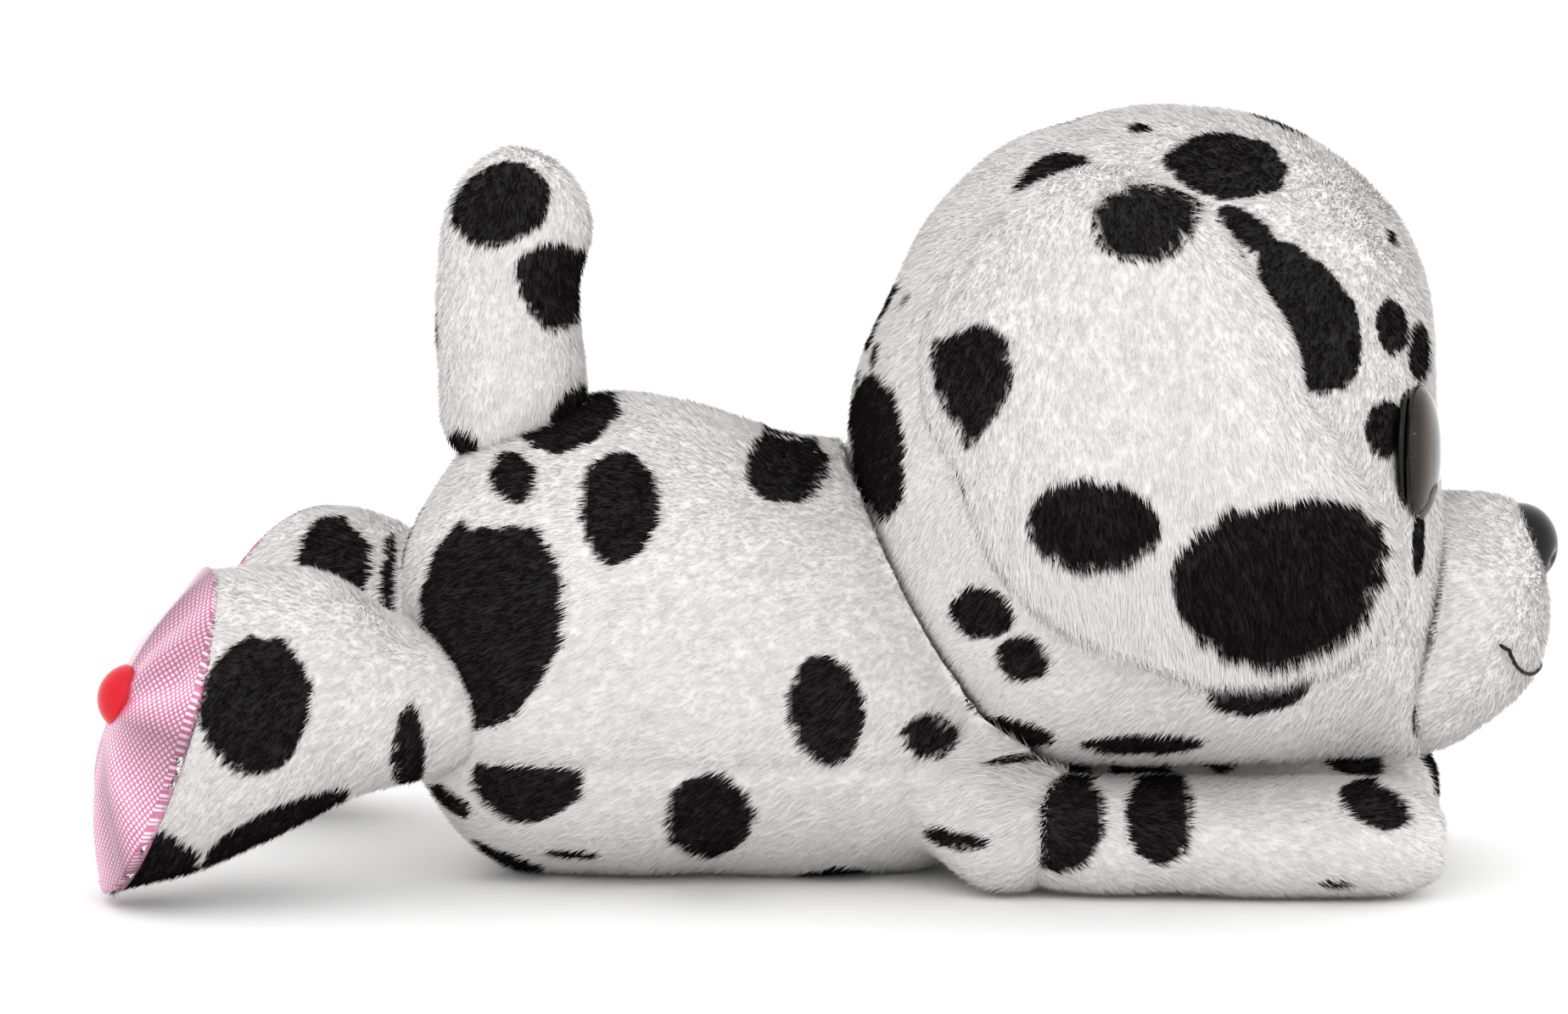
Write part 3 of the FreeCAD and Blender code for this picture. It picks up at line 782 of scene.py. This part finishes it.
def make_eye(side):
    centre, look = eye_frame(side)
    low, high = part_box("eye_base_" + side)
    radius = (high.z - low.z) / 2
    rim = [(0, -1.6 * MM), (radius * 0.96, -1.6 * MM), (radius, -1.2 * MM),
           (radius, -0.5 * MM), (radius * 0.97, -0.2 * MM), (0, -0.2 * MM)]
    base = revolved("eye_rim_" + side, rim, centre, look)
    base.data.materials.append(BLACK_PLASTIC)
    iris = revolved("iris_" + side, [(0, -0.1 * MM), (radius * 0.92, -0.1 * MM)]
                    + arc(radius * 0.94, 3.7 * MM, 0.2 * MM, 24), centre, look)
    ring_map(iris, centre, look, radius * 0.94)
    iris.data.materials.append(iris_material())
    back = [(0, 3.82 * MM)] + arc(radius * 0.93, 3.62 * MM, 0.2 * MM, 16)[:-1][::-1]
    back.append((radius, 0.2 * MM))
    lens = revolved("lens_" + side, back + arc(radius, 3.8 * MM, 0.9 * MM, 24), centre, look)
    lens.data.materials.append(lens_material())
    for piece, node in ((base, "eye_base_"), (iris, "eye_iris_"), (lens, "eye_lens_")):
        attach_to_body(piece, "head")
        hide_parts(node + side)


def ring_map(piece, centre, axis, radius):
    """UV map with U from the centre to the rim and V round the axis."""
    side = unit(np.cross(axis, (0.0, 0.0, 1.0)))
    other = np.cross(axis, side)
    offset = points_of(piece.data) - centre
    u = np.linalg.norm(offset - (offset @ axis)[:, None] * axis, axis=1) / radius
    v = np.arctan2(offset @ other, offset @ side) / (2 * math.pi) + 0.5
    set_map(piece, u, v)


def set_map(piece, u, v):
    layer = piece.data.uv_layers.new(name="UVMap")
    corners = np.zeros(len(piece.data.loops), np.int64)
    piece.data.loops.foreach_get("vertex_index", corners)
    layer.data.foreach_set("uv", np.stack([u[corners], v[corners]], axis=1).ravel())


def make_nose():
    """Soft triangular nose: broad at the top, with two nostrils and a groove between them."""
    low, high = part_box("nose")
    half = np.array([6.4 * MM, (high.y - low.y) / 2, (high.z - low.z) / 2])
    centre = np.array([high.x - half[0], 0, (high.z + low.z) / 2])
    nose = revolved("nose_dome", [(0, -1)] + [(math.sin(t), -math.cos(t)) for t in
                                  (math.pi * k / 40 for k in range(1, 40))] + [(0, 1)], (0, 0, 0), (1, 0, 0))
    ball = points_of(nose.data)
    shape = ball.copy()
    shape[:, 0] = np.where(ball[:, 0] > 0, ball[:, 0], ball[:, 0] * 0.35)
    shape[:, 1] *= 0.92 + 0.14 * ball[:, 2]
    nostril = np.exp(-((np.abs(ball[:, 1]) - 0.42) ** 2 / 0.02 + (ball[:, 2] + 0.28) ** 2 / 0.03))
    groove = np.exp(-(ball[:, 1] / 0.07) ** 2) * (ball[:, 2] < -0.05)
    front = np.clip(ball[:, 0], 0, 1)
    shape[:, 0] -= front * (0.14 * nostril + 0.05 * groove)
    set_points(nose.data, centre + shape * half)
    nose.data.materials.append(BLACK_PLASTIC)
    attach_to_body(nose, "head")
    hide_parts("nose")


def surface_of(piece):
    mesh = piece.data
    return BVHTree.FromPolygons([v.co for v in mesh.vertices], [tuple(p.vertices) for p in mesh.polygons])


def make_mouth(muzzle):
    """Back-stitched smile: short overlapping stitches that follow the CAD thread."""
    thread = points_of(frame["nodes"]["mouth_stitch"].data)
    surface = surface_of(muzzle)
    reach = np.abs(thread[:, 1]).max()
    across = np.linspace(-reach, reach, 29)
    heights = [thread[np.abs(thread[:, 1] - y) < 0.8 * MM][:, 2].mean() for y in across]
    path = []
    for y, z in zip(across, heights):
        hit, normal, _, _ = surface.ray_cast(Vector((0.2, y, z)), Vector((-1, 0, 0)))
        path.append(np.array(hit) + np.array(normal) * 0.9 * MM)
    points, faces, sides, rings = [], [], 10, 7
    for start, end in zip(path[:-1], path[1:]):
        axis = unit(end - start)
        side = unit(np.cross(axis, (1.0, 0.0, 0.0)))
        other = np.cross(axis, side)
        first = len(points)
        for ring in range(rings):
            share = ring / (rings - 1)
            radius = 0.34 * MM * math.sin(math.pi * (0.08 + 0.84 * share)) ** 0.4
            bow = other * 0.12 * MM * math.sin(math.pi * share)
            middle = start + (end - start) * (1.3 * share - 0.15) + bow
            for k in range(sides):
                angle = 2 * math.pi * k / sides
                points.append(middle + (side * math.cos(angle) + other * math.sin(angle)) * radius)
        for ring in range(rings - 1):
            for k in range(sides):
                a, b = first + ring * sides, first + (ring + 1) * sides
                faces.append((a + k, a + (k + 1) % sides, b + (k + 1) % sides, b + k))
        faces.append(tuple(first + k for k in reversed(range(sides))))
        faces.append(tuple(first + (rings - 1) * sides + k for k in range(sides)))
    piece = new_object("mouth_thread", points, faces)
    piece.data.materials.append(THREAD)
    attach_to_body(piece, "head")
    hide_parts("mouth_stitch")


def make_sole(side):
    """Domed foil sole, pulled into flat radial facets by its gathered seam, with painted highlight and shade
    on each facet.
    """
    points, _ = joined(["rear_sole_" + side])
    rng = np.random.default_rng(5)
    hip = np.array(joint("rear_leg_splay_" + side)["pos_m"])
    middle = (points.max(axis=0) + points.min(axis=0)) / 2
    heading = unit((middle - hip) * (1, 1, 0))
    lean = math.radians(SOLE_LEAN_DEG)
    facing = heading * math.cos(lean) + np.array([0, 0, math.sin(lean)])
    across = np.cross((0, 0, 1.0), heading)
    rise = np.cross(facing, across)
    span = [(points @ d).max() - (points @ d).min() for d in (across, rise, facing)]
    foot = sum(d * ((points @ d).max() + (points @ d).min()) / 2 for d in (across, rise))
    foot = foot + facing * (points @ facing).min()
    rings, segments = 30, 192
    facets = np.arange(len(PAINTED_GLINTS))
    folds = np.sort((facets + rng.uniform(-0.3, 0.3, len(facets))) * 2 * math.pi / len(facets))
    angles = np.arange(segments) * 2 * math.pi / segments
    drops = rng.uniform(0.3, 1, len(facets)) * (facets % 2)
    depths = np.interp(angles, folds, drops, period=2 * math.pi)
    grid, flat = [foot + facing * span[2]], [(0.0, 0.0)]
    for ring in range(1, rings + 1):
        share = ring / rings
        height = span[2] * (1 - share ** 2.2)
        pleat = SOLE_PLEAT * depths * share ** 1.5 * min(1.0, 4 * (1 - share))
        for k, angle in enumerate(angles):
            size = SOLE_FIT * share / 2
            flat.append((span[0] * size * math.cos(angle), span[1] * size * math.sin(angle)))
            grid.append(foot + across * flat[-1][0] + rise * flat[-1][1] + facing * (height - pleat[k]))
    for x, y in flat[-segments:]:
        grid.append(foot + across * x * 0.97 + rise * y * 0.97 - facing * SOLE_TUCK)
    flat.extend(flat[-segments:])
    grid.append(foot - facing * SOLE_TUCK)
    flat.append((0.0, 0.0))
    rings += 1
    faces = []
    for k in range(segments):
        j = (k + 1) % segments
        faces.append((0, 1 + k, 1 + j))
        for ring in range(rings - 1):
            a, b = 1 + ring * segments, 1 + (ring + 1) * segments
            faces.append((a + k, b + k, b + j, a + j))
        last = 1 + (rings - 1) * segments
        faces.append((last + j, last + k, len(grid) - 1))
    piece = new_object("sole_" + side, grid, faces)
    flat = np.array(flat) / MM
    set_map(piece, flat[:, 0], flat[:, 1])
    # Painted highlight and shade for each facet, fading to the plain colour towards the middle of the sole.
    turns = np.arctan2(flat[:, 1], flat[:, 0])
    painted_glints = np.interp(turns, folds, PAINTED_GLINTS, period=2 * math.pi)
    painted_glints = 1 + (painted_glints - 1) * np.clip(np.hypot(*flat.T) / 12, 0, 1)
    layer = piece.data.color_attributes.new("painted_glint", "FLOAT_COLOR", "POINT")
    layer.data.foreach_set("color", np.repeat(painted_glints, 4))
    piece.data.materials.append(FOIL)
    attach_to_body(piece, "rear_leg_" + side)
    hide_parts("rear_sole_" + side)


def shoulder_hull(side, torso_points):
    """The torso's cloth where it runs out over the root of a front leg."""
    root = np.array(joint("front_leg_spread_" + side)["pos_m"])
    rng = np.random.default_rng(2)
    ball = root - (SHOULDER_BACK, 0, 0) + unit(rng.normal(size=(300, 3))) * SHOULDER_RADIUS
    ball[:, 2] = np.maximum(ball[:, 2], 0.4 * MM)
    near = torso_points[np.linalg.norm(torso_points - root, axis=1) < SHOULDER_REACH]
    return hull_of("shoulder", np.concatenate([ball, near]))


def close_gap(piece, other):
    """Let one stuffed part swell until it rests against another that is close to it."""
    surface = surface_of(other)
    points = points_of(piece.data)
    for i, point in enumerate(points):
        hit, _, _, away = surface.find_nearest(Vector(point), 12 * MM)
        if hit is None:
            continue
        share = min(1.0, (12 * MM - away) / (4 * MM))
        points[i] += (np.array(hit) - point) * share * max(0.0, 1 - CONTACT_GAP / away)
    set_points(piece.data, points)
    smoothed(piece, 2)


def make_torso(head):
    nodes = ["torso_left_panel", "torso_right_panel", "belly_panel", "torso_stuffing"]
    points, faces = joined(nodes)
    seam_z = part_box("torso_left_panel")[0].z
    on_side, on_belly = spotted(SIDE_SPOTS), spotted(BELLY_SPOTS)

    def is_black(spots_at, normals):
        above = spots_at[:, 2] > seam_z
        return np.where(above, on_side(spots_at, normals), on_belly(spots_at, normals))

    skin = new_object("torso_skin", points, faces)
    add_to(skin, hull_of("rump", points[points[:, 0] < RUMP_FRONT_X]))
    for side in ("left", "right"):
        add_to(skin, shoulder_hull(side, points))
    skin_of(skin, is_black)
    close_gap(skin, head)
    paint(skin, is_black)
    points = points_of(skin.data)
    distance = np.abs(points[:, 2] - seam_z)
    back_seam = np.where(points[:, 2] > seam_z, np.abs(points[:, 1]), 1.0)
    press_in(skin, np.maximum(seam_depth(distance), seam_depth(back_seam)))

    def length(roots):
        away = np.linalg.norm(roots * (1, 0, 1) + np.abs(roots) * (0, 1, 0) - ARMPIT, axis=1)
        return 1 + 1.3 * np.exp(-((away / (9 * MM)) ** 2))

    piles = planted("torso_pile", skin, is_black, constant_nap(-1, 0, -0.5), length, seed=20)
    finish_skin(skin, nodes, ("torso",), piles)


def make_head():
    nodes = ["head_back_panel", "crown_gusset", "face_left_panel", "face_right_panel"]
    is_black = spotted(HEAD_SPOTS)
    skin = skin_of(hull_of("head_skin", joined(nodes)[0]), is_black)
    piles = planted("head_pile", skin, is_black, constant_nap(-0.8, 0, -0.8), seed=30)
    finish_skin(skin, nodes + ["head_stuffing"], ("head",), piles)
    nodes = ["muzzle_left_panel", "muzzle_right_panel"]
    is_black = spotted([])
    muzzle = skin_of(hull_of("muzzle_skin", joined(nodes)[0]), is_black)
    piles = planted("muzzle_pile", muzzle, is_black, constant_nap(-1, 0, -0.3), seed=35)
    finish_skin(muzzle, nodes + ["muzzle_stuffing"], ("head",), piles)
    make_mouth(muzzle)
    make_nose()
    for side in ("left", "right"):
        make_eye(side)
    return skin


def make_limb(name, nodes, spots, nap, rule, seed):
    """Skin and pile of a leg or the tail, fixed in place where they lie."""
    is_black = spotted(spots)
    skin = skin_of(new_object(name + "_skin", *joined(nodes)), is_black)
    finish_skin(skin, nodes, rule, planted(name + "_pile", skin, is_black, nap, seed=seed))


def make_tail():
    nodes = ["tail_left_panel", "tail_right_panel", "tail_stuffing"]
    root = np.array(joint("tail_swing")["pos_m"])
    rule = ("torso", "tail", root - (0, 0, 4 * MM), root + np.array((0, 0, 16 * MM)))
    make_limb("tail", nodes, TAIL_SPOTS, constant_nap(-0.2, 0, -1), rule, seed=40)


def make_front_leg(side, seed):
    nodes = [f"front_leg_{part}_{side}" for part in ("outer", "inner", "stuffing")]
    root = np.array(joint("front_leg_spread_" + side)["pos_m"])
    rule = ("torso", "front_leg_" + side, root - (5 * MM, 0, 0), root + np.array((13 * MM, 0, 0)))
    make_limb("front_leg_" + side, nodes, FRONT_LEG_SPOTS, constant_nap(1, 0, -0.4), rule, seed)


def make_rear_leg(side, seed):
    nodes = [f"rear_leg_{part}_{side}" for part in ("outer", "inner", "stuffing")]
    root = np.array(joint("rear_leg_splay_" + side)["pos_m"])
    foot = points_of(frame["nodes"]["rear_sole_" + side].data).mean(axis=0)
    heading = unit((foot - root) * (1, 1, 0))
    rule = ("torso", "rear_leg_" + side, root - heading * 4 * MM, root + heading * 16 * MM)
    make_limb("rear_leg_" + side, nodes, REAR_LEG_SPOTS[side], constant_nap(-0.8, 0, -0.5), rule, seed)
    make_sole(side)


def ear_outline(turn):
    """Distance from the middle of the ear to its edge, at the given angles, by a smooth closed curve."""
    points = np.array(EAR_OUTLINE) - EAR_MIDDLE
    angles = np.arctan2(points[:, 1], points[:, 0])
    order = np.argsort(angles)
    angles, radii = angles[order], np.linalg.norm(points, axis=1)[order]
    angles = np.concatenate([angles - 2 * math.pi, angles, angles + 2 * math.pi])
    radii = np.tile(radii, 3)
    rough = np.interp(turn, angles, radii)
    wide = [np.interp((turn + d + math.pi) % (2 * math.pi) - math.pi, angles, radii) for d in (-0.12, 0.12)]
    return 0.5 * rough + 0.25 * (wide[0] + wide[1])


def make_ear(side, seed, head):
    """Floppy leaf that hangs over the side of the head from a padded roll at its top."""
    sign = 1 if side == "left" else -1
    surface = surface_of(head)
    rings, segments = 26, 120
    turns = np.arange(segments) * 2 * math.pi / segments - math.pi
    reach = ear_outline(turns)
    sheets = []
    for outside in (True, False):
        rows = []
        for ring in range(rings + 1):
            share = ring / rings
            row = []
            for turn, edge in zip(turns, reach):
                x = (EAR_MIDDLE[0] + edge * share * math.cos(turn)) * MM
                z = (EAR_MIDDLE[1] + edge * share * math.sin(turn)) * MM
                row.append(ear_point(surface, sign, x, z, share, outside))
                if ring == 0:
                    break
            rows.append(row)
        sheets.append(rows)
    points, faces = list(sheets[0][0]), []
    for row in sheets[0][1:]:
        points.extend(row)
    for row in reversed(sheets[1][1:-1]):
        points.extend(row)
    points.extend(sheets[1][0])
    bands = 2 * rings - 1
    for k in range(segments):
        j = (k + 1) % segments
        faces.append((0, 1 + k, 1 + j))
        for band in range(bands - 1):
            a, b = 1 + band * segments, 1 + (band + 1) * segments
            faces.append((a + k, b + k, b + j, a + j))
        last = 1 + (bands - 1) * segments
        faces.append((last + j, last + k, len(points) - 1))
    if sign > 0:
        faces = [tuple(reversed(face)) for face in faces]
    skin = new_object("ear_skin_" + side, points, faces)
    smoothed(skin, 2)
    is_black = spotted(EAR_SPOTS)
    paint(skin, is_black)
    hem = EAR_MIDDLE[1] * MM

    def length(roots):
        return 1 + 0.6 * np.clip((hem - roots[:, 2]) / (30 * MM), 0, 1)

    piles = planted("ear_pile_" + side, skin, is_black, constant_nap(0.15, 0, -1), length, seed)
    root = np.array(joint("ear_lift_" + side)["pos_m"])
    rule = ("head", "ear_" + side, root, root - np.array((0, 0, 14 * MM)))
    finish_skin(skin, ["ear_inner_" + side, "ear_outer_" + side], rule, piles)


def ear_point(surface, sign, x, z, share, outside):
    """Point of the ear over (x, z) of the head: share runs from its middle to its edge."""
    start = Vector((x, sign * 0.2, z))
    hit, normal, _, _ = surface.ray_cast(start, Vector((0, -sign, 0)))
    if hit is None:
        hit, normal, _, _ = surface.find_nearest(Vector((x, sign * 0.03, z)))
    top = np.clip((z / MM - 96) / 20, 0, 1)
    low = np.clip((86 - z / MM) / 40, 0, 1)
    lift = (0.5 + 7.0 * low ** 1.3) * MM
    thick = (6.0 + 3.5 * top) * MM
    crown = (1 - share ** 4) ** 0.5
    rim = 0.12 + 0.33 * low
    height = lift + (rim + (1 - rim) * crown if outside else rim * (1 - crown)) * thick
    return np.array(hit) + unit(np.array(normal) * (0.5, 1.0, 0.4)) * height


def dress_inner_pieces():
    """Materials for the CAD pieces that stay as they are."""
    for name, node in frame["nodes"].items():
        if node.hide_render:
            continue
        finish = FILLING
        if "washer" in name:
            finish = WHITE_PLASTIC
        elif "stud" in name:
            finish = RED_PLASTIC
        node.data.materials.clear()
        node.data.materials.append(finish)


make_camera()
make_stage()
make_light()
head_skin = make_head()
make_torso(head_skin)
make_tail()
for number, name in enumerate(("left", "right")):
    make_front_leg(name, 50 + number)
    make_rear_leg(name, 60 + number)
    make_ear(name, 70 + number, head_skin)
dress_inner_pieces()
